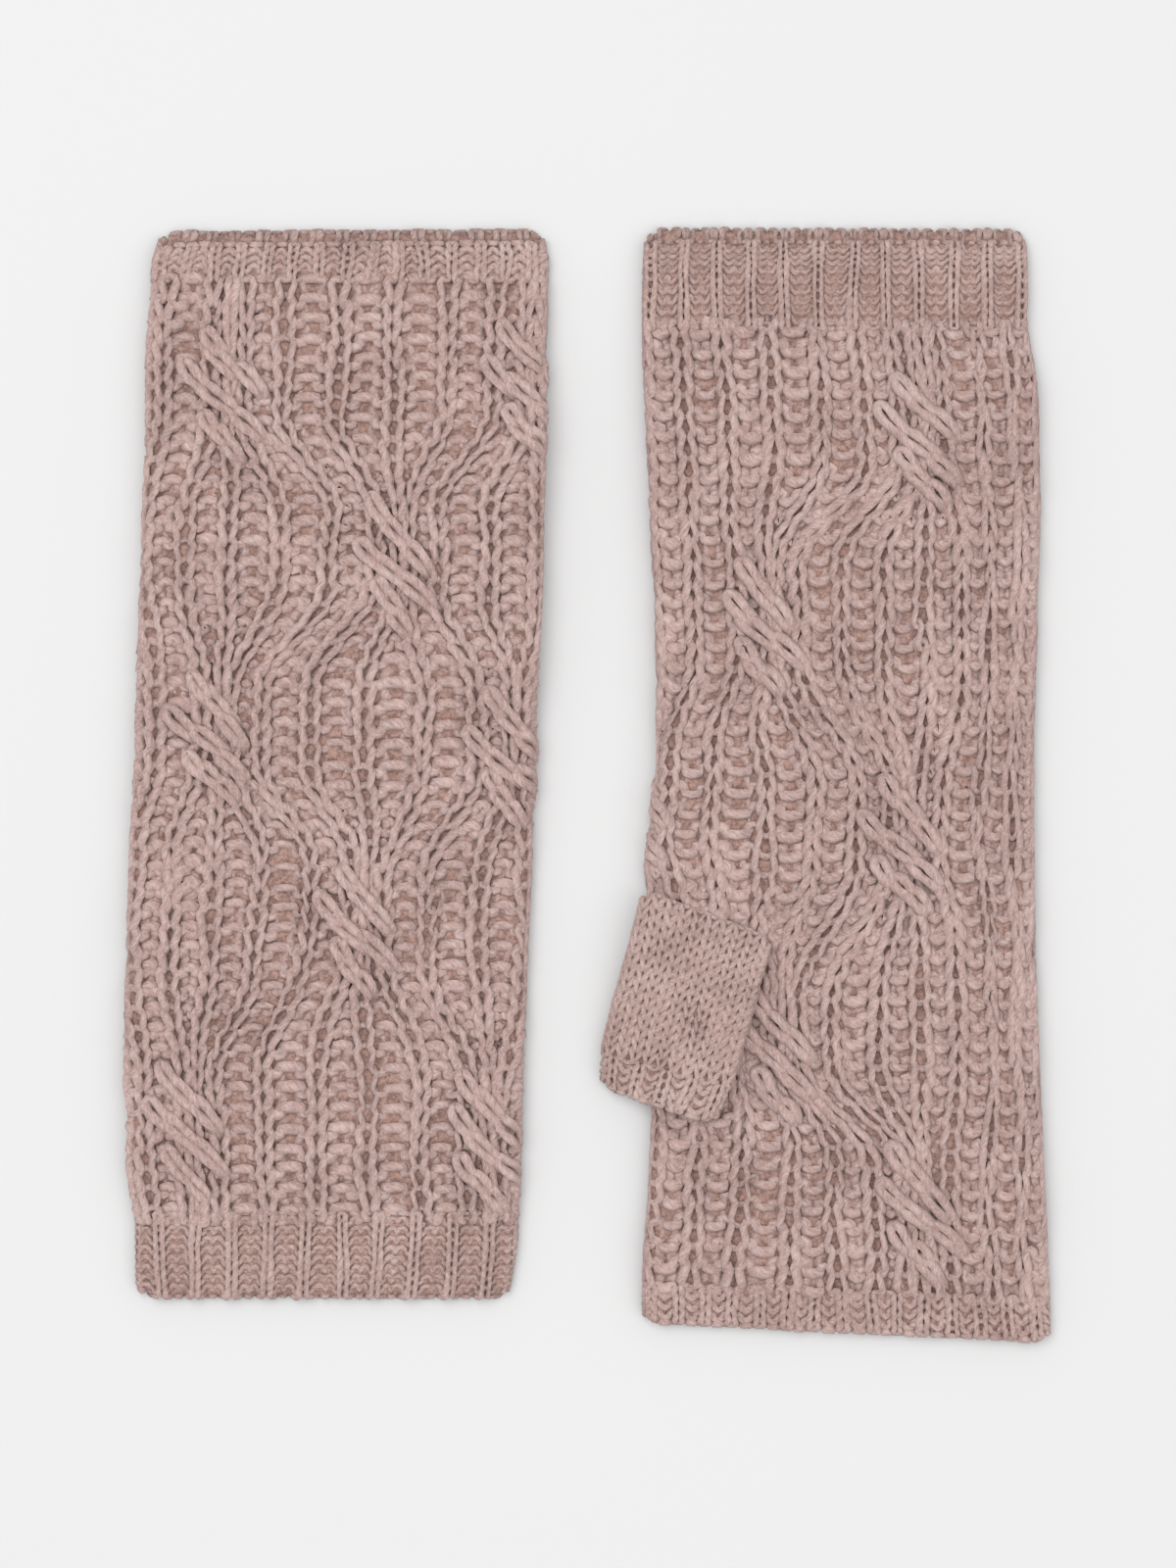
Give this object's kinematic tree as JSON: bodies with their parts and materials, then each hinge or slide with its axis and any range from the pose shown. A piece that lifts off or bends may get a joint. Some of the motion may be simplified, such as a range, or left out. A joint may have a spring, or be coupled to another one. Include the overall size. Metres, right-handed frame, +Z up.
{
  "type": "pair of fingerless mittens",
  "caption": "Long fingerless knitted mittens laid flat as a pair, with raised cable crossings, ribbed ends and short open thumbs.",
  "frame": {"origin": "centre of the pair on the surface it lies on", "axes": "+X across the pair from the left mitten to the right one, +Y along them towards the left mitten's fingers and the right mitten's wrist, +Z up from the surface"},
  "size_m": [0.2288, 0.2746, 0.0117],
  "materials": {
    "left_wrist_rib": "fine rib knit in dusty pink wool, matt and slightly fuzzy",
    "left_body": "chunky rib and cable knit in dusty pink wool with grey fibres, matt and slightly fuzzy",
    "left_finger_rib": "fine rib knit in dusty pink wool, matt and slightly fuzzy",
    "left_thumb": "fine plain knit in dusty pink wool, matt and slightly fuzzy",
    "left_thumb_rib": "fine rib knit in dusty pink wool, matt and slightly fuzzy",
    "right_wrist_rib": "fine rib knit in dusty pink wool, matt and slightly fuzzy",
    "right_body": "chunky rib and cable knit in dusty pink wool with grey fibres, matt and slightly fuzzy",
    "right_finger_rib": "fine rib knit in dusty pink wool, matt and slightly fuzzy",
    "right_thumb": "fine plain knit in dusty pink wool, matt and slightly fuzzy",
    "right_thumb_rib": "fine rib knit in dusty pink wool, matt and slightly fuzzy"
  },
  "bodies": {
    "root": {"left_wrist_rib": "left_wrist_rib", "left_body": "left_body", "left_finger_rib": "left_finger_rib", "left_thumb": "left_thumb", "left_thumb_rib": "left_thumb_rib", "right_wrist_rib": "right_wrist_rib", "right_body": "right_body", "right_finger_rib": "right_finger_rib", "right_thumb": "right_thumb", "right_thumb_rib": "right_thumb_rib"}
  },
  "joints": []
}
